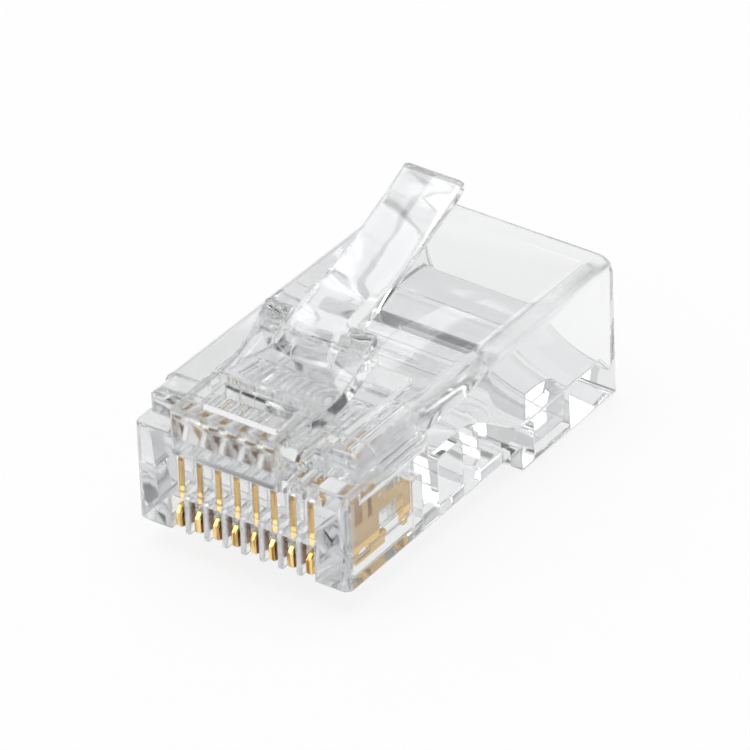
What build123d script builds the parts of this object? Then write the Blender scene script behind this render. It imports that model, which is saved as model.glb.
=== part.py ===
import os

from build123d import *

# Modular plug with eight contacts, as sold, before it is crimped on a cable. Millimetres.
# X runs across the width, Y from the nose face (0) back to the cable end,
# and Z from the underside of the nose (0) up to the latch.
os.makedirs("parts", exist_ok=True)

# Outside of the clear moulding
body_width = 11.68
body_length = 21.46
nose_height = 5.25
top_front = 6.58
top_rear = 6.10
rail_start = 2.60
rail_radius = 0.75
nose_corner_radius = 0.45
edge_radius = 0.15
half_width = body_width / 2

# Deeper rear end
drop_depth = 1.40
drop_start = 13.70
drop_radius = 0.40
drop_side_radius = 0.30

# Shoulders on both sides of the latch root
shoulder_front = 1.10
shoulder_inset = 0.08
shoulder_top = 6.46
shoulder_round = 0.80
shoulder_overlap = 0.80
step_width = 0.65
step_top = 6.15
step_front = 1.20

# Recess under the latch
recess_width = 7.80
recess_end = 8.10

# Latch root on the nose, with two straps that flex
latch_width = 6.00
root_front = -1.15
root_back = 0.45
root_bottom = 5.08
root_top = 7.50
root_top_round = 0.50
root_bottom_round = 0.25
root_corner_round = 0.40
strap_thickness = 0.85
window_width = 4.10
window_front = 0.20
window_end = 2.05
hinge_y = 1.20
hinge_gap = 0.03

# Latch plate, with one ramp over its whole width and a hook on both sides of the lever
plate_straight_end = 3.00
groove_front = 2.45
groove_back = 2.85
groove_depth = 0.10
ramp_foot_y = 5.18
ramp_foot_rise = 0.55
ramp_foot_slope = 0.45
ramp_top_y = 6.62
hook_back = 6.86
hook_top_rise = 1.60
hook_under_rise = 1.00
hook_under_slope = 0.25
plate_round = 0.08

# Lever: at each place along it, how far its top and its underside lie above the plate's
# top, and how wide and deep its side bevels are
lever_width = 3.26
lever_places = (6.62, 8.00, 9.60, 11.40, 13.30, 15.82)
lever_tops = (1.53, 1.83, 2.16, 2.64, 3.32, 4.38)
lever_unders = (0.22, 0.90, 1.40, 2.10, 2.87, 3.92)
bevel_widths = (0.44, 0.40, 0.36, 0.32, 0.29, 0.27)
bevel_depths = (0.36, 0.28, 0.20, 0.14, 0.11, 0.10)
foot_bevel_width = 0.22
foot_bevel_depth = 0.06
lever_corner = 0.35

# Cable space
cable_width = 9.50
cable_floor = 0.58
floor_slope = 0.25
cable_ceiling = 5.30
flare_depth = 0.76
mouth_top_width = 10.50
mouth_bottom_width = 9.60
mouth_floor = -0.25
mouth_ceiling = 5.72
funnel_start = 14.80
funnel_end = 10.10
funnel_width_end = 12.00

# Flat space where the wires fan out, and the blind channels that they go into
wire_floor = 3.10
wire_ceiling = 4.50
wire_space_width = 8.30
contact_count = 8
contact_pitch = 1.02
channel_bore = 0.92
channel_front = 2.10
channel_end = 7.20
channel_z = 3.80

# Contact blades: the heel that touches the jack's springs, three teeth that pierce the wires,
# each from one place to another along Y, and the tail behind them
blade_thickness = 0.36
blade_clearance = 0.01
blade_front = 0.06
blade_bottom = 0.18
blade_back = 5.98
blade_bevel = 0.07
nose_slope_run = 0.25
nose_slope_height = 0.30
nose_round = 0.25
heel_top = 1.32
heel_end = 4.15
heel_end_top = 0.92
teeth = ((0.95, 1.85), (2.35, 2.75), (3.10, 3.55))
tooth_base = 3.62
tooth_tip = 3.95
tooth_round = 0.04
notch_bottom = 2.35
notch_round = 0.15
eye_front = 1.85
eye_back = 2.95
eye_bottom = 0.42
eye_top = 1.02
eye_round = 0.35
tail_top = 2.45
tail_bar = 0.26
tail_width = 0.58
tail_step = 0.93
tail_bottom = 0.30
foot_width = 0.32

# Comb of ribs at the nose
rib_width = 0.32
rib_round = 0.12
comb_height = 1.95
comb_depth = 1.10
groove_height = 0.75
groove_end = 6.02

# Hollows moulded into the underside
pocket_width = 8.10
contact_pocket_end = 6.80
pocket_front = 8.00
pocket_back = 10.00
pocket_height = 2.50
pocket_round = 0.25
cored_front = 11.30
cored_back = 13.00
cored_height = 1.70
cored_back_height = 0.51

# Jacket clamp bar, hinged on the floor of the cable space in a window
bar_width = 9.00
bar_gap = 0.15
bar_web_front = 15.30
bar_web = 0.30
bar_back = 18.00
bar_bottom = -1.00
bar_top = 2.06
bar_arch_front = 14.90
bar_arch_crown = 15.50
bar_back_slope = 0.50
bar_window_back = 18.20

cut_margin = 1.0
cut_overlap = 0.02
slot_width = blade_thickness + 2 * blade_clearance
root_z_low = root_top - strap_thickness
hinge_z = root_top - strap_thickness / 2
seam_radius = strap_thickness / 2 + hinge_gap
seam_y = hinge_y - (seam_radius**2 - (strap_thickness / 2) ** 2) ** 0.5


def contact_x(number):
    """Middle of a contact, counted from the left."""
    return (number - (contact_count - 1) / 2) * contact_pitch


def top_at(y):
    """Height of the top face, which falls a little towards the cable end."""
    return top_front + (top_rear - top_front) * (y - rail_start) / (body_length - rail_start)


def lever_outline(top, under, wide, deep):
    """Corners of the lever's section: flat below, with a bevel at both upper sides."""
    half_lever = lever_width / 2
    return [
        (-half_lever, root_top + under),
        (half_lever, root_top + under),
        (half_lever, root_top + top - deep),
        (half_lever - wide, root_top + top),
        (wide - half_lever, root_top + top),
        (-half_lever, root_top + top - deep),
    ]


# Nose block in front of the shoulders, rounded at its uprights and all round its rims
with BuildPart() as nose:
    with BuildSketch() as nose_plan:
        with Locations((0, rail_start / 2)):
            Rectangle(body_width, rail_start)
        fillet(nose_plan.vertices().group_by(Axis.Y)[0], radius=nose_corner_radius)
    extrude(amount=nose_height)
    for level in (nose.faces().sort_by(Axis.Z)[0], nose.faces().sort_by(Axis.Z)[-1]):
        fillet(level.edges().sort_by(Axis.Y)[:-1], radius=edge_radius)

# Shoulders: rounded along the sides, over the front and at the upright corners
with BuildPart() as shoulders:
    shoulder_width = body_width - 2 * shoulder_inset
    shoulder_end = rail_start + shoulder_overlap
    shoulder_low = nose_height - edge_radius
    with BuildSketch(Plane.XZ.offset(-shoulder_front)) as shoulder_section:
        with Locations((0, (shoulder_low + shoulder_top) / 2)):
            Rectangle(shoulder_width, shoulder_top - shoulder_low)
        fillet(shoulder_section.vertices().group_by(Axis.Y)[-1], radius=rail_radius)
    extrude(amount=shoulder_front - shoulder_end)
    with BuildSketch(Plane.YZ) as shoulder_side:
        with Locations(((shoulder_front + shoulder_end) / 2, (shoulder_low + shoulder_top) / 2)):
            Rectangle(shoulder_end - shoulder_front, shoulder_top - shoulder_low)
        fillet(shoulder_side.vertices().group_by(Axis.X)[0].sort_by(Axis.Y)[-1], radius=shoulder_round)
    extrude(amount=half_width, both=True, mode=Mode.INTERSECT)
    with BuildSketch(Plane.XY.offset(shoulder_low)) as shoulder_plan:
        with Locations((0, (shoulder_front + shoulder_end) / 2)):
            Rectangle(shoulder_width, shoulder_end - shoulder_front)
        fillet(shoulder_plan.vertices().group_by(Axis.Y)[0], radius=nose_corner_radius)
    extrude(amount=top_front, mode=Mode.INTERSECT)

# Low steps on the inner side of each shoulder
with BuildPart() as inner_steps:
    with BuildSketch(Plane.YZ) as step_side:
        with Locations(((step_front + rail_start) / 2, (nose_height + step_top) / 2)):
            Rectangle(rail_start - step_front, step_top - nose_height + 2 * edge_radius)
        fillet(step_side.vertices().group_by(Axis.X)[0].sort_by(Axis.Y)[-1], radius=shoulder_round / 2)
    extrude(amount=recess_width / 2 + edge_radius, both=True)
    with Locations((0, 0, nose_height)):
        Box(recess_width - 2 * step_width, 4 * recess_end, 2 * top_front, mode=Mode.SUBTRACT)

# Latch root: a block rounded at its front and corners, and two straps behind a window
with BuildPart() as latch_root:
    with BuildSketch(Plane.XZ.offset(-hinge_y)) as root_section:
        with Locations((0, (root_bottom + root_top) / 2)):
            Rectangle(latch_width, root_top - root_bottom)
        fillet(root_section.vertices().group_by(Axis.Y)[0], radius=edge_radius)
        fillet(root_section.vertices().group_by(Axis.Y)[-1], radius=edge_radius / 2)
    extrude(amount=hinge_y - root_front)
    with BuildSketch(Plane.YZ) as root_side:
        with BuildLine():
            Polyline(
                (seam_y, root_z_low),
                (root_back, root_z_low),
                (root_back, root_bottom),
                (root_front, root_bottom),
                (root_front, root_top),
                (seam_y, root_top),
            )
            ThreePointArc((seam_y, root_top), (hinge_y - seam_radius, hinge_z), (seam_y, root_z_low))
        make_face()
        fillet(root_side.vertices().group_by(Axis.X)[0].sort_by(Axis.Y)[-1], radius=root_top_round)
        fillet(root_side.vertices().group_by(Axis.X)[0].sort_by(Axis.Y)[0], radius=root_bottom_round)
    extrude(amount=latch_width, both=True, mode=Mode.INTERSECT)
    with BuildSketch(Plane.XY.offset(root_bottom - cut_margin)) as root_plan:
        with Locations((0, (root_front + hinge_y) / 2)):
            Rectangle(latch_width, hinge_y - root_front)
        fillet(root_plan.vertices().group_by(Axis.Y)[0], radius=root_corner_round)
    extrude(amount=root_top - root_bottom + 2 * cut_margin, mode=Mode.INTERSECT)
    with BuildSketch(Plane.XY.offset(root_z_low)) as root_window:
        with Locations((0, (window_front + window_end) / 2)):
            Rectangle(window_width, window_end - window_front)
        fillet(root_window.vertices(), radius=edge_radius)
    extrude(amount=strap_thickness, mode=Mode.SUBTRACT)

# Deeper rear end of the body
with BuildPart() as rear_drop:
    with BuildSketch(Plane.XZ.offset(-drop_start)) as drop_section:
        with Locations((0, (nose_height - drop_depth) / 2)):
            Rectangle(body_width, nose_height + drop_depth)
        fillet(drop_section.vertices().group_by(Axis.Y)[0], radius=drop_side_radius)
    extrude(amount=drop_start - body_length)
    with BuildSketch(Plane.YZ) as drop_side:
        with Locations(((drop_start + body_length) / 2, (nose_height - drop_depth) / 2)):
            Rectangle(body_length - drop_start, nose_height + drop_depth)
        fillet(drop_side.vertices().group_by(Axis.Y)[0].sort_by(Axis.X)[0], radius=drop_radius)
    extrude(amount=body_width, both=True, mode=Mode.INTERSECT)

# Cable space: a box with a tapered front, a rising floor and a flared mouth
with BuildPart() as cable_space:
    flare_start = body_length - flare_depth
    with BuildSketch(Plane.YZ) as cable_side:
        with BuildLine():
            floor_start = (funnel_start, cable_floor)
            floor_end = (funnel_end, wire_floor)
            Line((flare_start, cable_floor), floor_start)
            Spline(floor_start, floor_end, tangents=[(-1, floor_slope), (-1, floor_slope)])
            Line(floor_end, (funnel_end, wire_ceiling))
            Line((funnel_end, wire_ceiling), (funnel_width_end, cable_ceiling))
            Line((funnel_width_end, cable_ceiling), (flare_start, cable_ceiling))
            Line((flare_start, cable_ceiling), (flare_start, cable_floor))
        make_face()
    extrude(amount=cable_width / 2, both=True)
    with BuildSketch(Plane.XY.offset(cable_floor)) as cable_plan:
        with BuildLine():
            Polyline(
                (-wire_space_width / 2, funnel_end),
                (-cable_width / 2, funnel_width_end),
                (-cable_width / 2, flare_start),
                (cable_width / 2, flare_start),
                (cable_width / 2, funnel_width_end),
                (wire_space_width / 2, funnel_end),
                close=True,
            )
        make_face()
    extrude(amount=cable_ceiling, mode=Mode.INTERSECT)
    cable_edges = cable_space.edges().filter_by(Axis.Y).group_by(Axis.X)
    fillet(cable_edges[0] + cable_edges[-1], radius=2 * edge_radius)
    with BuildSketch(Plane.XZ.offset(-flare_start)) as flare_inner:
        with Locations((0, (cable_floor + cable_ceiling) / 2)):
            Rectangle(cable_width, cable_ceiling - cable_floor)
        fillet(flare_inner.vertices(), radius=2 * edge_radius)
    with BuildSketch(Plane.XZ.offset(-body_length)) as flare_outer:
        with BuildLine():
            Polyline(
                (-mouth_bottom_width / 2, mouth_floor),
                (mouth_bottom_width / 2, mouth_floor),
                (mouth_top_width / 2, mouth_ceiling),
                (-mouth_top_width / 2, mouth_ceiling),
                close=True,
            )
        make_face()
        fillet(flare_outer.vertices(), radius=2 * edge_radius)
    loft(sections=[flare_inner.sketch, flare_outer.sketch])

# Clear housing: outside form first, then all its hollows, then the clamp bar
with BuildPart() as housing:
    for y in (rail_start, body_length):
        with BuildSketch(Plane.XZ.offset(-y)) as section:
            with BuildLine():
                Polyline(
                    (-half_width, 0),
                    (half_width, 0),
                    (half_width, top_at(y)),
                    (-half_width, top_at(y)),
                    close=True,
                )
            make_face()
            fillet(section.vertices().group_by(Axis.Y)[-1], radius=rail_radius)
            fillet(section.vertices().group_by(Axis.Y)[0], radius=edge_radius)
    loft()

    add(nose.part)
    add(rear_drop.part)
    fillet(housing.faces().sort_by(Axis.Y)[-1].edges(), radius=edge_radius)
    add(shoulders.part)

    # Recess under the latch, then the pieces that stand in it
    with Locations((0, (shoulder_front + recess_end) / 2, nose_height + top_front / 2)):
        Box(recess_width, recess_end - shoulder_front, top_front, mode=Mode.SUBTRACT)
    add(inner_steps.part)
    add(latch_root.part)

    # Cable space and the flat space for the wires
    add(cable_space.part, mode=Mode.SUBTRACT)
    wire_height = wire_ceiling - wire_floor
    with Locations((0, (channel_end + funnel_end) / 2, wire_floor + wire_height / 2)):
        Box(wire_space_width, funnel_end - channel_end + cut_overlap, wire_height, mode=Mode.SUBTRACT)

    # Hollows open to the underside
    with BuildSketch(Plane.YZ) as hollows:
        with Locations(((groove_end + contact_pocket_end) / 2, (pocket_height - cut_margin) / 2)):
            Rectangle(contact_pocket_end - groove_end, pocket_height + cut_margin)
        with Locations(((pocket_front + pocket_back) / 2, (pocket_height - cut_margin) / 2)):
            Rectangle(pocket_back - pocket_front, pocket_height + cut_margin)
        fillet(hollows.vertices().group_by(Axis.Y)[-1], radius=pocket_round)
        with BuildLine():
            Polyline(
                (cored_front, -cut_margin),
                (cored_front, cored_height),
                (cored_back, cored_back_height),
                (cored_back, -cut_margin),
                close=True,
            )
        make_face()
    extrude(amount=pocket_width / 2, both=True, mode=Mode.SUBTRACT)

    # Window of the clamp bar, then the bar on its web
    with BuildSketch(Plane.YZ) as bar_window:
        with BuildLine():
            Polyline(
                (bar_web_front, -drop_depth - cut_margin),
                (bar_web_front, cable_floor - 2 * edge_radius),
                (bar_web_front, cable_floor + edge_radius),
                (bar_window_back, cable_floor + edge_radius),
                (bar_window_back, -drop_depth - cut_margin),
                close=True,
            )
        make_face()
    extrude(amount=bar_width / 2 + bar_gap, both=True, mode=Mode.SUBTRACT)
    with BuildSketch(Plane.YZ) as bar_side:
        with BuildLine():
            bar_under = (bar_web_front + bar_gap, bar_bottom)
            bar_heel = (bar_back, bar_bottom)
            bar_shoulder = (bar_back, cable_floor)
            bar_crown = (bar_arch_crown, bar_top)
            web_top = (bar_arch_front, cable_floor)
            web_low = (bar_arch_front, cable_floor - bar_web)
            Line(bar_under, bar_heel)
            Line(bar_heel, bar_shoulder)
            Spline(bar_shoulder, bar_crown, tangents=[(-bar_back_slope, 1), (-1, 0)])
            Line(bar_crown, (bar_arch_front, bar_top))
            Line((bar_arch_front, bar_top), web_top)
            Line(web_top, web_low)
            Line(web_low, (bar_web_front + bar_gap, cable_floor - bar_web))
            Line((bar_web_front + bar_gap, cable_floor - bar_web), bar_under)
        make_face()
    extrude(amount=bar_width / 2, both=True)

    # Wire channels, blade slots and the open comb at the nose
    for number in range(contact_count):
        x = contact_x(number)
        with Locations((x, (channel_front + channel_end) / 2, channel_z)):
            Cylinder(
                channel_bore / 2,
                channel_end - channel_front + cut_overlap,
                rotation=(90, 0, 0),
                mode=Mode.SUBTRACT,
            )
        with BuildSketch(Plane.YZ.offset(x)) as blade_slot:
            slot_front = teeth[0][0] - blade_clearance
            slot_back = groove_end + blade_clearance
            slot_top = tooth_tip + blade_clearance
            with Locations(((slot_front + slot_back) / 2, (slot_top - cut_margin) / 2)):
                Rectangle(slot_back - slot_front, slot_top + cut_margin)
        extrude(amount=slot_width / 2, both=True, mode=Mode.SUBTRACT)
        with BuildSketch(Plane.YZ.offset(x)) as comb_slot:
            with BuildLine():
                Polyline(
                    (-cut_margin, -cut_margin),
                    (groove_end, -cut_margin),
                    (groove_end, groove_height),
                    (comb_depth, groove_height),
                    (comb_depth, comb_height),
                    (-cut_margin, comb_height),
                    close=True,
                )
            make_face()
        extrude(amount=(contact_pitch - rib_width) / 2, both=True, mode=Mode.SUBTRACT)
    comb_width = contact_count * contact_pitch
    comb_edges = housing.edges().filter_by(Axis.Y).filter_by_position(Axis.X, -comb_width / 2, comb_width / 2)
    rib_ends = comb_edges.filter_by_position(Axis.Z, -cut_overlap, cut_overlap)
    fillet(rib_ends, radius=rib_round)

housing.part.label = "housing"
export_step(housing.part, "parts/housing.step")

# Latch: plate, two hooks and the lever between them
with BuildPart() as latch:
    with BuildSketch(Plane.YZ) as plate_side:
        with BuildLine():
            plate_bend = (plate_straight_end, root_top)
            ramp_foot = (ramp_foot_y, root_top + ramp_foot_rise)
            ramp_top = (ramp_top_y, root_top + hook_top_rise)
            hook_under = (hook_back, root_z_low + hook_under_rise)
            under_bend = (plate_straight_end, root_z_low)
            ThreePointArc(
                (hinge_y, root_z_low),
                (hinge_y - strap_thickness / 2, hinge_z),
                (hinge_y, root_top),
            )
            Line((hinge_y, root_top), plate_bend)
            Spline(plate_bend, ramp_foot, tangents=[(1, 0), (1, ramp_foot_slope)])
            Line(ramp_foot, ramp_top)
            Line(ramp_top, (hook_back, root_top + hook_top_rise))
            Line((hook_back, root_top + hook_top_rise), hook_under)
            Spline(hook_under, under_bend, tangents=[(-1, -hook_under_slope), (-1, 0)])
            Line(under_bend, (hinge_y, root_z_low))
        make_face()
        fillet(plate_side.vertices().group_by(Axis.Y)[-1], radius=edge_radius / 2)
    extrude(amount=latch_width / 2, both=True)
    with BuildSketch(Plane.XY.offset(root_z_low)) as strap_window:
        with Locations((0, (window_front + window_end) / 2)):
            Rectangle(window_width, window_end - window_front)
    extrude(amount=strap_thickness, mode=Mode.SUBTRACT)
    with BuildSketch(Plane.YZ) as crease:
        with BuildLine():
            Polyline(
                (groove_front, root_top + groove_depth),
                (groove_front, root_top),
                ((groove_front + groove_back) / 2, root_top - groove_depth),
                (groove_back, root_top),
                (groove_back, root_top + groove_depth),
                close=True,
            )
        make_face()
    extrude(amount=latch_width, both=True, mode=Mode.SUBTRACT)
    plate_edges = latch.edges().filter_by(Axis.X, reverse=True).filter_by_position(
        Axis.Y, plate_straight_end, hook_back - cut_overlap
    )
    side_edges = plate_edges.group_by(Axis.X)[0] + plate_edges.group_by(Axis.X)[-1]
    upper_edges = side_edges.filter_by_position(Axis.Z, root_top, root_top + 2 * hook_top_rise)
    fillet(upper_edges, radius=plate_round)

    # Room for the lever between the hooks
    with BuildSketch(Plane.YZ) as lever_room:
        with BuildLine():
            Polyline(
                ramp_foot,
                (ramp_foot_y, root_top + 2 * hook_top_rise),
                (hook_back + cut_margin, root_top + 2 * hook_top_rise),
                (hook_back + cut_margin, root_z_low + hook_under_rise),
                (ramp_foot_y, root_z_low + hook_under_rise),
                close=True,
            )
        make_face()
    extrude(amount=lever_width / 2, both=True, mode=Mode.SUBTRACT)

# Front of the lever, on the same slope as the hooks, and its bar that rises to the tip
with BuildPart() as lever:
    foot_y = ramp_foot_y - edge_radius
    front_places = (foot_y, lever_places[0])
    front_tops = (ramp_foot_rise - edge_radius / 2, lever_tops[0])
    front_unders = (lever_unders[0] - ramp_foot_rise, lever_unders[0])
    front_widths = (foot_bevel_width, bevel_widths[0])
    front_depths = (foot_bevel_depth, bevel_depths[0])
    front_sections = zip(front_places, front_tops, front_unders, front_widths, front_depths)
    for y, top, under, wide, deep in front_sections:
        with BuildSketch(Plane.XZ.offset(-y)) as front_section:
            with BuildLine():
                Polyline(*lever_outline(top, under, wide, deep), close=True)
            make_face()
    loft(ruled=True)
    bar_sections = zip(lever_places, lever_tops, lever_unders, bevel_widths, bevel_depths)
    for y, top, under, wide, deep in bar_sections:
        with BuildSketch(Plane.XZ.offset(-y)) as bar_section:
            with BuildLine():
                Polyline(*lever_outline(top, under, wide, deep), close=True)
            make_face()
    loft()
    tip_corners = lever.edges().filter_by(Axis.Z).group_by(Axis.Y)[-1]
    fillet(tip_corners, radius=lever_corner)

with BuildPart() as whole_latch:
    add(latch.part)
    add(lever.part)

whole_latch.part.label = "latch"
export_step(whole_latch.part, "parts/latch.step")

# Contact blades, stamped from sheet: all eight are alike
for number in range(contact_count):
    with BuildPart() as contact:
        with BuildSketch(Plane.YZ.offset(contact_x(number))) as blade:
            upper_front = teeth[0][0]
            upper_back = teeth[-1][1]
            tail_front = blade_back - tail_width
            foot_front = blade_back - (tail_width + foot_width) / 2
            outline = [
                (blade_front, heel_top - nose_slope_height),
                (blade_front, blade_bottom),
                (heel_end, blade_bottom),
                (heel_end, heel_end_top),
                (upper_back, heel_end_top),
                (upper_back, tail_top - tail_bar),
                (tail_front, tail_top - tail_bar),
                (tail_front, tail_step),
                (foot_front, tail_step),
                (foot_front, tail_bottom),
                (foot_front + foot_width, tail_bottom),
                (foot_front + foot_width, tail_step),
                (blade_back, tail_step),
                (blade_back, tail_top),
                (upper_back, tail_top),
            ]
            for start, end in reversed(teeth):
                if end != upper_back:
                    outline.append((end, notch_bottom))
                outline += [(end, tooth_base), ((start + end) / 2, tooth_tip), (start, tooth_base)]
                if start != upper_front:
                    outline.append((start, notch_bottom))
            outline += [(upper_front, heel_top), (blade_front + nose_slope_run, heel_top)]
            with BuildLine():
                Polyline(*outline, close=True)
            make_face()
            corners = blade.vertices()
            fillet(corners.group_by(Axis.X)[0].sort_by(Axis.Y)[0], radius=nose_round)
            notch_level = (notch_bottom - cut_overlap, notch_bottom + cut_overlap)
            fillet(corners.filter_by_position(Axis.Y, *notch_level), radius=notch_round)
            fillet(corners.group_by(Axis.Y)[-1], radius=tooth_round)
        extrude(amount=blade_thickness / 2, both=True)
        rims = contact.edges().filter_by(Axis.X, reverse=True)
        rims = rims.filter_by_position(Axis.Z, 0, heel_top + cut_overlap)
        chamfer(rims.filter_by_position(Axis.Y, 0, heel_end + cut_overlap), length=blade_bevel)
        with BuildSketch(Plane.YZ.offset(contact_x(number))) as eye:
            with Locations(((eye_front + eye_back) / 2, (eye_bottom + eye_top) / 2)):
                Rectangle(eye_back - eye_front, eye_top - eye_bottom)
            fillet(eye.vertices().group_by(Axis.Y)[-1], radius=eye_round)
        extrude(amount=blade_thickness, both=True, mode=Mode.SUBTRACT)
    contact.part.label = f"contact_{number + 1}"
    export_step(contact.part, f"parts/contact_{number + 1}.step")
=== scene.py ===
import math

import bpy
from mathutils import Matrix, Vector


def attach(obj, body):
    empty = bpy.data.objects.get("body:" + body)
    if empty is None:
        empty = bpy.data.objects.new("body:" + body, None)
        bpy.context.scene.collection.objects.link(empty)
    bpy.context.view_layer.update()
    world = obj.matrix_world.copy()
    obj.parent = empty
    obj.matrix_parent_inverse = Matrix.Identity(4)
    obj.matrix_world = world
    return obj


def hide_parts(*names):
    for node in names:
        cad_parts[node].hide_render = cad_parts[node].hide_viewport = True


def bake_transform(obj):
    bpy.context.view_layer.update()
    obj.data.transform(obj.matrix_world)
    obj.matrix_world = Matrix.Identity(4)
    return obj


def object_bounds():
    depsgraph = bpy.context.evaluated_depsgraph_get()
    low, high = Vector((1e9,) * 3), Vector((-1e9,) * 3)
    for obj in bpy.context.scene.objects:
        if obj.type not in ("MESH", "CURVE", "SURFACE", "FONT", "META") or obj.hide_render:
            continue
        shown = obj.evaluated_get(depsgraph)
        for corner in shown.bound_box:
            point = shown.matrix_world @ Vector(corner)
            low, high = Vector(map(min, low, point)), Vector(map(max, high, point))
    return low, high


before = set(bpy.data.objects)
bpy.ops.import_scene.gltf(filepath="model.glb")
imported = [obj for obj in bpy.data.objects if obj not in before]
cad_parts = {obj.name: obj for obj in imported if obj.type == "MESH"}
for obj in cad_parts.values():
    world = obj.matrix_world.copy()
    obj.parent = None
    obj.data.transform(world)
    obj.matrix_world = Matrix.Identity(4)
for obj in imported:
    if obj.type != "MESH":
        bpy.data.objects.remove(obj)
cad_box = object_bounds()

# Camera
# It stands to the right of the nose, a little above the plug, far away with a long lens, so that
# edges stay nearly parallel. Places are in metres, the lens and its sensor in millimetres.
camera_turn = math.radians(36.153)
camera_height = math.radians(33.86)
camera_roll = math.radians(-2.374)
camera_distance = 0.46719
camera_right = 0.00593
camera_up = 0.008133
camera_lens = 499.5
camera_sensor = 36

towards_camera = Vector(
    (
        math.sin(camera_turn) * math.cos(camera_height),
        -math.cos(camera_turn) * math.cos(camera_height),
        math.sin(camera_height),
    )
)
level_right = Vector((math.cos(camera_turn), math.sin(camera_turn), 0))
level_up = towards_camera.cross(level_right)
image_right = math.cos(camera_roll) * level_right + math.sin(camera_roll) * level_up
image_up = math.cos(camera_roll) * level_up - math.sin(camera_roll) * level_right
bpy.ops.object.camera_add()
camera = bpy.context.object
camera.name = "camera"
camera.data.lens = camera_lens
camera.data.sensor_width = camera_sensor
place = camera_right * image_right + camera_up * image_up + camera_distance * towards_camera
turn = Matrix((image_right, image_up, towards_camera)).transposed()
camera.matrix_world = Matrix.Translation(place) @ turn.to_4x4()
bpy.context.scene.camera = camera
bpy.context.scene.view_settings.view_transform = "Standard"

# Light
# Grey studio walls stand all round under one bright panel overhead, with one soft box at the rear
# right and one at the front left. Clear plastic shows the walls in its inner faces, and the panel
# and the boxes as thin white lines along its rounded edges.
brightest_wall = 0.68

# Each grey stands at its height, from 0 straight down to 1 straight up.
sky_greys = (
    (0.49, 0.22),
    (0.60, 0.10),
    (0.69, brightest_wall),
    (0.84, brightest_wall),
    (0.865, 0.06),
    (0.93, 0.06),
    (0.942, 1.0),
)
panel_strength = 3.8
left_difference = -0.25
front_difference = -0.15
soft_boxes = (((0.55, 0.68, 0.48), 0.3), ((-0.49, -0.62, 0.61), 1.6))
box_rim_cosine = 0.968
box_middle_cosine = 0.980
light_bounces = 40
mirror_bounces = 20
white = (1, 1, 1, 1)


def add_math(nodes, operation, *values):
    """Add a Math node and set its second and third inputs."""
    node = nodes.new("ShaderNodeMath")
    node.operation = operation
    for place, value in enumerate(values, start=1):
        node.inputs[place].default_value = value
    return node


def add_range(nodes, start, end, low=0.0, high=1.0):
    """Add a node that turns start into low and end into high, and stays level beyond them."""
    node = nodes.new("ShaderNodeMapRange")
    node.inputs["From Min"].default_value = start
    node.inputs["From Max"].default_value = end
    node.inputs["To Min"].default_value = low
    node.inputs["To Max"].default_value = high
    return node


bpy.context.scene.cycles.max_bounces = light_bounces
bpy.context.scene.cycles.transmission_bounces = light_bounces
bpy.context.scene.cycles.glossy_bounces = mirror_bounces
world = bpy.data.worlds.new("studio")
bpy.context.scene.world = world
world.use_nodes = True
nodes = world.node_tree.nodes
links = world.node_tree.links
nodes.clear()
direction = nodes.new("ShaderNodeTexCoord")
split = nodes.new("ShaderNodeSeparateXYZ")
height = add_range(nodes, -1, 1)
ramp = nodes.new("ShaderNodeValToRGB")
for element in ramp.color_ramp.elements:
    element.color = white
for position, grey in sky_greys:
    element = ramp.color_ramp.elements.new(position)
    element.color = (grey, grey, grey, 1)
panel = add_range(nodes, brightest_wall, 1, 1, panel_strength)
sideways = add_math(nodes, "MULTIPLY_ADD", left_difference, 1)
lengthways = add_math(nodes, "MULTIPLY_ADD", front_difference)
strength = add_math(nodes, "MULTIPLY")
path = nodes.new("ShaderNodeLightPath")
walls = nodes.new("ShaderNodeBackground")
seen = nodes.new("ShaderNodeBackground")
seen.inputs["Color"].default_value = white
mix = nodes.new("ShaderNodeMixShader")
output = nodes.new("ShaderNodeOutputWorld")
links.new(direction.outputs["Generated"], split.inputs[0])
links.new(split.outputs["Z"], height.inputs["Value"])
links.new(height.outputs["Result"], ramp.inputs[0])
links.new(ramp.outputs[0], panel.inputs["Value"])
links.new(split.outputs["X"], sideways.inputs[0])
links.new(split.outputs["Y"], lengthways.inputs[0])
links.new(sideways.outputs[0], lengthways.inputs[2])
links.new(panel.outputs["Result"], strength.inputs[0])
links.new(lengthways.outputs[0], strength.inputs[1])
links.new(ramp.outputs[0], walls.inputs["Color"])
links.new(strength.outputs[0], walls.inputs["Strength"])
lit = walls
for box_direction, box_strength in soft_boxes:
    towards_box = nodes.new("ShaderNodeVectorMath")
    towards_box.operation = "DOT_PRODUCT"
    towards_box.inputs[1].default_value = Vector(box_direction).normalized()
    box_shape = add_range(nodes, box_rim_cosine, box_middle_cosine, 0, box_strength)
    box_shape.interpolation_type = "SMOOTHSTEP"
    box = nodes.new("ShaderNodeBackground")
    box.inputs["Color"].default_value = white
    both = nodes.new("ShaderNodeAddShader")
    links.new(direction.outputs["Generated"], towards_box.inputs[0])
    links.new(towards_box.outputs["Value"], box_shape.inputs["Value"])
    links.new(box_shape.outputs["Result"], box.inputs["Strength"])
    links.new(lit.outputs[0], both.inputs[0])
    links.new(box.outputs[0], both.inputs[1])
    lit = both
links.new(path.outputs["Is Camera Ray"], mix.inputs[0])
links.new(lit.outputs[0], mix.inputs[1])
links.new(seen.outputs[0], mix.inputs[2])
links.new(mix.outputs[0], output.inputs[0])

# Floor
# A white sheet just under the plug. It glows enough to stay white in the picture, in the
# metal and through the plastic, and keeps a faint shadow.
floor_gap = 0.00002
floor_radius = 0.9
floor_corners = 96
floor_grey = 0.10
floor_glow = 0.845
floor_roughness = 0.9


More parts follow.
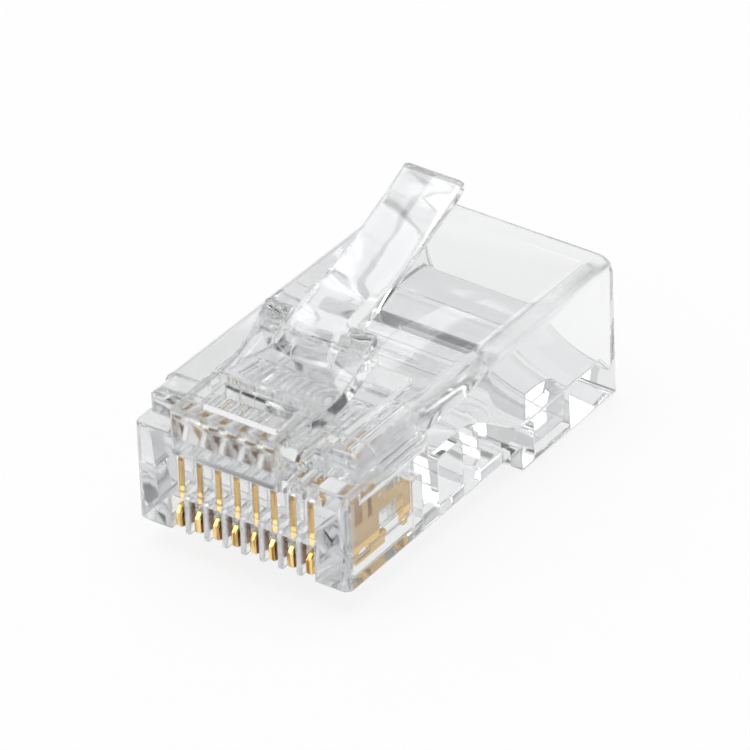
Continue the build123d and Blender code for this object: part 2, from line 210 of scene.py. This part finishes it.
def new_material(name):
    """A new material, with its nodes, its links and its main shader."""
    material = bpy.data.materials.new(name)
    material.use_nodes = True
    tree = material.node_tree
    return material, tree.nodes, tree.links, tree.nodes["Principled BSDF"]


bpy.ops.mesh.primitive_circle_add(
    vertices=floor_corners,
    radius=floor_radius,
    fill_type="NGON",
    location=(0, 0, cad_box[0][2] - floor_gap),
)
floor = bpy.context.object
floor.name = "floor"
paper, nodes, links, shader = new_material("white_paper")
shader.inputs["Base Color"].default_value = (floor_grey, floor_grey, floor_grey, 1)
shader.inputs["Roughness"].default_value = floor_roughness
shader.inputs["Emission Color"].default_value = (floor_glow, floor_glow, floor_glow, 1)
path = nodes.new("ShaderNodeLightPath")
direct = add_math(nodes, "ADD")
direct_or_through = add_math(nodes, "ADD")
direct_or_through.use_clamp = True
links.new(path.outputs["Is Camera Ray"], direct.inputs[0])
links.new(path.outputs["Is Glossy Ray"], direct.inputs[1])
links.new(direct.outputs[0], direct_or_through.inputs[0])
links.new(path.outputs["Is Transmission Ray"], direct_or_through.inputs[1])
links.new(direct_or_through.outputs[0], shader.inputs["Emission Strength"])
floor.data.materials.append(paper)

# Housing
# One clear polycarbonate moulding: nose with its comb, shoulders, latch root, cable space and
# clamp bar. Its polished faces wave very slightly, the front of the latch root is a trace less
# glossy, and no edge is quite sharp.
smooth_angle = math.radians(28)
merge_distance = 0.0000005
plastic_tint = (0.948, 0.952, 0.956, 1)
plastic_depth_tint = (0.48, 0.50, 0.52, 1)
plastic_density = 18
plastic_bend = 1.585
edge_round = 0.00015
edge_samples = 4
ripple_scale = 260
ripple_detail = 1.0
ripple_strength = 0.06
ripple_height = 0.00004
satin_back = 0.0
satin_bottom = 0.0045
satin_roughness = 0.10
strap_seam = 0.00050
strap_gap = 0.000005
strap_low = 0.00664
strap_top = 0.00751
strap_round_front = 0.00070
housing_strap_back = 0.00106
seam_facing = 0.9
root_leg_low = 0.0050
root_leg_end = 0.00045
root_leg_new_end = 0.00108
same_place = 0.00001


def joined_copy(name, node):
    """A copy of a CAD solid with its loose triangles joined up."""
    bpy.ops.object.select_all(action="DESELECT")
    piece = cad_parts[node].copy()
    piece.data = piece.data.copy()
    piece.data.materials.clear()
    piece.name = name
    piece.parent = None
    for key in list(piece.keys()):
        del piece[key]
    bpy.context.scene.collection.objects.link(piece)
    bpy.context.view_layer.objects.active = piece
    piece.select_set(True)
    bpy.ops.object.mode_set(mode="EDIT")
    bpy.ops.mesh.select_all(action="SELECT")
    bpy.ops.mesh.remove_doubles(threshold=merge_distance)
    bpy.ops.object.mode_set(mode="OBJECT")
    if piece.data.has_custom_normals:
        bpy.ops.mesh.customdata_custom_splitnormals_clear()
    return piece


def square_strap_ends(piece, back, new_place):
    """Move the rounded ends of both straps to one upright plane."""
    bpy.ops.object.mode_set(mode="EDIT")
    bpy.ops.mesh.select_all(action="DESELECT")
    bpy.ops.object.mode_set(mode="OBJECT")
    for corner in piece.data.vertices:
        in_round = strap_round_front < corner.co.y < back
        corner.select = in_round and strap_low < corner.co.z < strap_top
    bpy.ops.object.mode_set(mode="EDIT")
    bpy.ops.transform.resize(value=(1, 0, 1), center_override=(0, new_place, 0))
    bpy.ops.mesh.select_all(action="SELECT")
    bpy.ops.mesh.dissolve_degenerate(threshold=merge_distance)
    bpy.ops.object.mode_set(mode="OBJECT")


plastic, nodes, links, shader = new_material("clear_polycarbonate")
shader.inputs["Base Color"].default_value = plastic_tint
shader.inputs["Roughness"].default_value = 0.0
shader.inputs["IOR"].default_value = plastic_bend
shader.inputs["Transmission Weight"].default_value = 1.0
spot = nodes.new("ShaderNodeTexCoord")
split_spot = nodes.new("ShaderNodeSeparateXYZ")
links.new(spot.outputs["Object"], split_spot.inputs[0])

# Long ways through the plastic are darker than short ones.
depth = nodes.new("ShaderNodeVolumeAbsorption")
depth.inputs["Color"].default_value = plastic_depth_tint
depth.inputs["Density"].default_value = plastic_density
links.new(depth.outputs[0], nodes["Material Output"].inputs["Volume"])

# The waves of the faces lie over the rounds of the edges.
ripple = nodes.new("ShaderNodeTexNoise")
ripple.inputs["Scale"].default_value = ripple_scale
ripple.inputs["Detail"].default_value = ripple_detail
rounding = nodes.new("ShaderNodeBevel")
rounding.samples = edge_samples
rounding.inputs["Radius"].default_value = edge_round
bump = nodes.new("ShaderNodeBump")
bump.inputs["Strength"].default_value = ripple_strength
bump.inputs["Distance"].default_value = ripple_height
links.new(spot.outputs["Object"], ripple.inputs["Vector"])
links.new(ripple.outputs["Fac"], bump.inputs["Height"])
links.new(rounding.outputs[0], bump.inputs["Normal"])
links.new(bump.outputs[0], shader.inputs["Normal"])

# The two faces that meet across each strap can't be seen, because the real plug has none.
facing = nodes.new("ShaderNodeNewGeometry")
split_facing = nodes.new("ShaderNodeSeparateXYZ")
lengthways = add_math(nodes, "ABSOLUTE")
across_strap = add_math(nodes, "GREATER_THAN", seam_facing)
at_seam = add_math(nodes, "COMPARE", strap_seam, same_place)
seam_face = add_math(nodes, "MULTIPLY")
solid = add_math(nodes, "SUBTRACT")
solid.inputs[0].default_value = 1
links.new(facing.outputs["Normal"], split_facing.inputs[0])
links.new(split_facing.outputs["Y"], lengthways.inputs[0])
links.new(lengthways.outputs[0], across_strap.inputs[0])
links.new(split_spot.outputs["Y"], at_seam.inputs[0])
links.new(at_seam.outputs[0], seam_face.inputs[0])
links.new(across_strap.outputs[0], seam_face.inputs[1])
links.new(seam_face.outputs[0], solid.inputs[1])
links.new(solid.outputs[0], shader.inputs["Alpha"])

# The finish is clear everywhere but on the front of the latch root.
in_front = add_math(nodes, "LESS_THAN", satin_back)
above = add_math(nodes, "GREATER_THAN", satin_bottom)
satin_mask = add_math(nodes, "MULTIPLY")
satin = add_range(nodes, 0, 1, 0, satin_roughness)
links.new(split_spot.outputs["Y"], in_front.inputs[0])
links.new(split_spot.outputs["Z"], above.inputs[0])
links.new(in_front.outputs[0], satin_mask.inputs[0])
links.new(above.outputs[0], satin_mask.inputs[1])
links.new(satin_mask.outputs[0], satin.inputs["Value"])
links.new(satin.outputs["Result"], shader.inputs["Roughness"])

# The legs of the latch root reach a little further back than in the solids.
housing = joined_copy("housing_moulding", "housing")
housing.data.materials.append(plastic)
square_strap_ends(housing, housing_strap_back, strap_seam)
for corner in housing.data.vertices:
    at_leg_end = abs(corner.co.y - root_leg_end) < same_place
    if at_leg_end and root_leg_low < corner.co.z < strap_low:
        corner.co.y = root_leg_new_end
bpy.ops.object.shade_smooth_by_angle(angle=smooth_angle)
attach(housing, "plug_body")
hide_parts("housing")

# Latch
# Plate, hooks and lever, moulded in one with the housing. Its two straps run on into the latch
# root and bend when the lever is pressed. The piece is cut across several times along them.
latch_strap_back = 0.00125
strap_cuts = 9
strap_end = 0.00200
latch = joined_copy("latch_lever", "latch")
latch.data.materials.append(plastic)
square_strap_ends(latch, latch_strap_back, strap_seam + strap_gap)
bpy.ops.object.mode_set(mode="EDIT")
for number in range(1, strap_cuts + 1):
    cut = strap_seam + (strap_end - strap_seam) * number / (strap_cuts + 1)
    bpy.ops.mesh.select_all(action="SELECT")
    bpy.ops.mesh.bisect(plane_co=(0, cut, 0), plane_no=(0, 1, 0))
bpy.ops.object.mode_set(mode="OBJECT")
bpy.ops.object.shade_smooth_by_angle(angle=smooth_angle)
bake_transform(latch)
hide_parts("latch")

# Contacts
# Eight blades stamped from bronze sheet. The front edges, that the jack's springs touch, and the
# outer faces are gilded, in a brighter gold on the heel. What stays behind in the slots is bare.
contact_count = 8
front_gold = (0.95, 0.72, 0.30, 1)
upper_gold = (0.72, 0.44, 0.07, 1)
heel_gold = (0.90, 0.60, 0.17, 1)
upper_flank_gold = (0.54, 0.36, 0.13, 1)
# A dark gold for the streaks on the gilded fronts: partly the rolled sheet's streaks, partly
# painted reflection.
streak_and_painted_reflection_gold = (0.34, 0.17, 0.03, 1)
# A dark painted shade for the inner flanks at the front of the heel, where the comb's slots hold
# them.
painted_shade_gold = (0.17, 0.045, 0.004, 1)
bare_metal = (0.80, 0.79, 0.76, 1)
heel_height = 0.00130
heel_blur = 0.00003
front_depth = 0.0020
front_facing_start = -0.25
front_facing_end = -0.60
flank_facing_start = 0.80
flank_facing_end = 0.95
shaded_depth = 0.0009
outer_place = 0.0034
blade_edge_round = 0.00006
streak_scale = (5200, 2600, 500)
streak_detail = 2
streak_start = 0.48
streak_end = 0.70
streak_strength = 0.35
streak_height = 0.00002
smoothest_gilt = 0.08
roughest_gilt = 0.22


def add_colour_mix(nodes, first=None, second=None):
    """Add a node that mixes two colours, which may be given or come from other nodes."""
    node = nodes.new("ShaderNodeMix")
    node.data_type = "RGBA"
    if first:
        node.inputs["A"].default_value = first
    if second:
        node.inputs["B"].default_value = second
    return node


gilt, nodes, links, shader = new_material("gilt")
shader.inputs["Metallic"].default_value = 1.0
spot = nodes.new("ShaderNodeTexCoord")
split_spot = nodes.new("ShaderNodeSeparateXYZ")
rounding = nodes.new("ShaderNodeBevel")
rounding.samples = edge_samples
rounding.inputs["Radius"].default_value = blade_edge_round
split_facing = nodes.new("ShaderNodeSeparateXYZ")
links.new(spot.outputs["Object"], split_spot.inputs[0])
links.new(rounding.outputs[0], split_facing.inputs[0])

# Fine streaks of the rolled sheet run up the blades. On the gilded fronts they also darken the
# colour, partly as painted reflection.
stretch = nodes.new("ShaderNodeMapping")
stretch.inputs["Scale"].default_value = streak_scale
streaks = nodes.new("ShaderNodeTexNoise")
streaks.inputs["Scale"].default_value = 1
streaks.inputs["Detail"].default_value = streak_detail
streak_and_painted_reflection_mask = add_range(nodes, streak_start, streak_end)
polish = add_range(nodes, 0, 1, smoothest_gilt, roughest_gilt)
bump = nodes.new("ShaderNodeBump")
bump.inputs["Strength"].default_value = streak_strength
bump.inputs["Distance"].default_value = streak_height
links.new(spot.outputs["Object"], stretch.inputs["Vector"])
links.new(stretch.outputs[0], streaks.inputs["Vector"])
links.new(streaks.outputs["Fac"], streak_and_painted_reflection_mask.inputs["Value"])
links.new(streaks.outputs["Fac"], polish.inputs["Value"])
links.new(polish.outputs["Result"], shader.inputs["Roughness"])
links.new(rounding.outputs[0], bump.inputs["Normal"])
links.new(streaks.outputs["Fac"], bump.inputs["Height"])
links.new(bump.outputs[0], shader.inputs["Normal"])

# Where the heel, the front part of the heel and the two outermost blades lie.
heel_mask = add_range(nodes, heel_height + heel_blur, heel_height - heel_blur)
forward = add_math(nodes, "LESS_THAN", shaded_depth)
forward_heel = add_math(nodes, "MULTIPLY")
off_centre = add_math(nodes, "ABSOLUTE")
outer = add_math(nodes, "GREATER_THAN", outer_place)
links.new(split_spot.outputs["Z"], heel_mask.inputs["Value"])
links.new(split_spot.outputs["Y"], forward.inputs[0])
links.new(forward.outputs[0], forward_heel.inputs[0])
links.new(heel_mask.outputs["Result"], forward_heel.inputs[1])
links.new(split_spot.outputs["X"], off_centre.inputs[0])
links.new(off_centre.outputs[0], outer.inputs[0])

# The flat sides are bare on the inner blades, but for a dark painted shade at the front of the
# heel, and gilded on the two outermost.
flank_inner = add_colour_mix(nodes, bare_metal, painted_shade_gold)
flank_outer = add_colour_mix(nodes, upper_flank_gold, heel_gold)
flank = add_colour_mix(nodes)
links.new(forward_heel.outputs[0], flank_inner.inputs["Factor"])
links.new(heel_mask.outputs["Result"], flank_outer.inputs["Factor"])
links.new(outer.outputs[0], flank.inputs["Factor"])
links.new(flank_inner.outputs["Result"], flank.inputs["A"])
links.new(flank_outer.outputs["Result"], flank.inputs["B"])

# The cut edges run all round, and the flat sides take over where a face looks sideways.
rim_mask = add_math(nodes, "MAXIMUM")
rim = add_colour_mix(nodes, bare_metal, heel_gold)
sideways = add_math(nodes, "ABSOLUTE")
flank_mask = add_range(nodes, flank_facing_start, flank_facing_end)
sided = add_colour_mix(nodes)
links.new(forward_heel.outputs[0], rim_mask.inputs[0])
links.new(outer.outputs[0], rim_mask.inputs[1])
links.new(rim_mask.outputs[0], rim.inputs["Factor"])
links.new(split_facing.outputs["X"], sideways.inputs[0])
links.new(sideways.outputs[0], flank_mask.inputs["Value"])
links.new(flank_mask.outputs["Result"], sided.inputs["Factor"])
links.new(rim.outputs["Result"], sided.inputs["A"])
links.new(flank.outputs["Result"], sided.inputs["B"])

# The gilded front edges, with their streaks of rolled sheet and painted reflection, go over all
# the rest.
front = add_colour_mix(nodes, upper_gold, front_gold)
front_with_streaks_and_painted_reflections = add_colour_mix(nodes, second=streak_and_painted_reflection_gold)
front_mask = add_range(nodes, front_facing_start, front_facing_end)
at_front = add_math(nodes, "LESS_THAN", front_depth)
gilded_front = add_math(nodes, "MULTIPLY")
finished = add_colour_mix(nodes)
links.new(heel_mask.outputs["Result"], front.inputs["Factor"])
links.new(streak_and_painted_reflection_mask.outputs["Result"], front_with_streaks_and_painted_reflections.inputs["Factor"])
links.new(front.outputs["Result"], front_with_streaks_and_painted_reflections.inputs["A"])
links.new(split_facing.outputs["Y"], front_mask.inputs["Value"])
links.new(front_mask.outputs["Result"], gilded_front.inputs[0])
links.new(split_spot.outputs["Y"], at_front.inputs[0])
links.new(at_front.outputs[0], gilded_front.inputs[1])
links.new(gilded_front.outputs[0], finished.inputs["Factor"])
links.new(sided.outputs["Result"], finished.inputs["A"])
links.new(front_with_streaks_and_painted_reflections.outputs["Result"], finished.inputs["B"])
links.new(finished.outputs["Result"], shader.inputs["Base Color"])
for number in range(1, contact_count + 1):
    contact = joined_copy(f"contact_blade_{number}", f"contact_{number}")
    bpy.ops.object.shade_smooth_by_angle(angle=smooth_angle)
    contact.data.materials.append(gilt)
    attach(contact, "plug_body")
    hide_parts(f"contact_{number}")
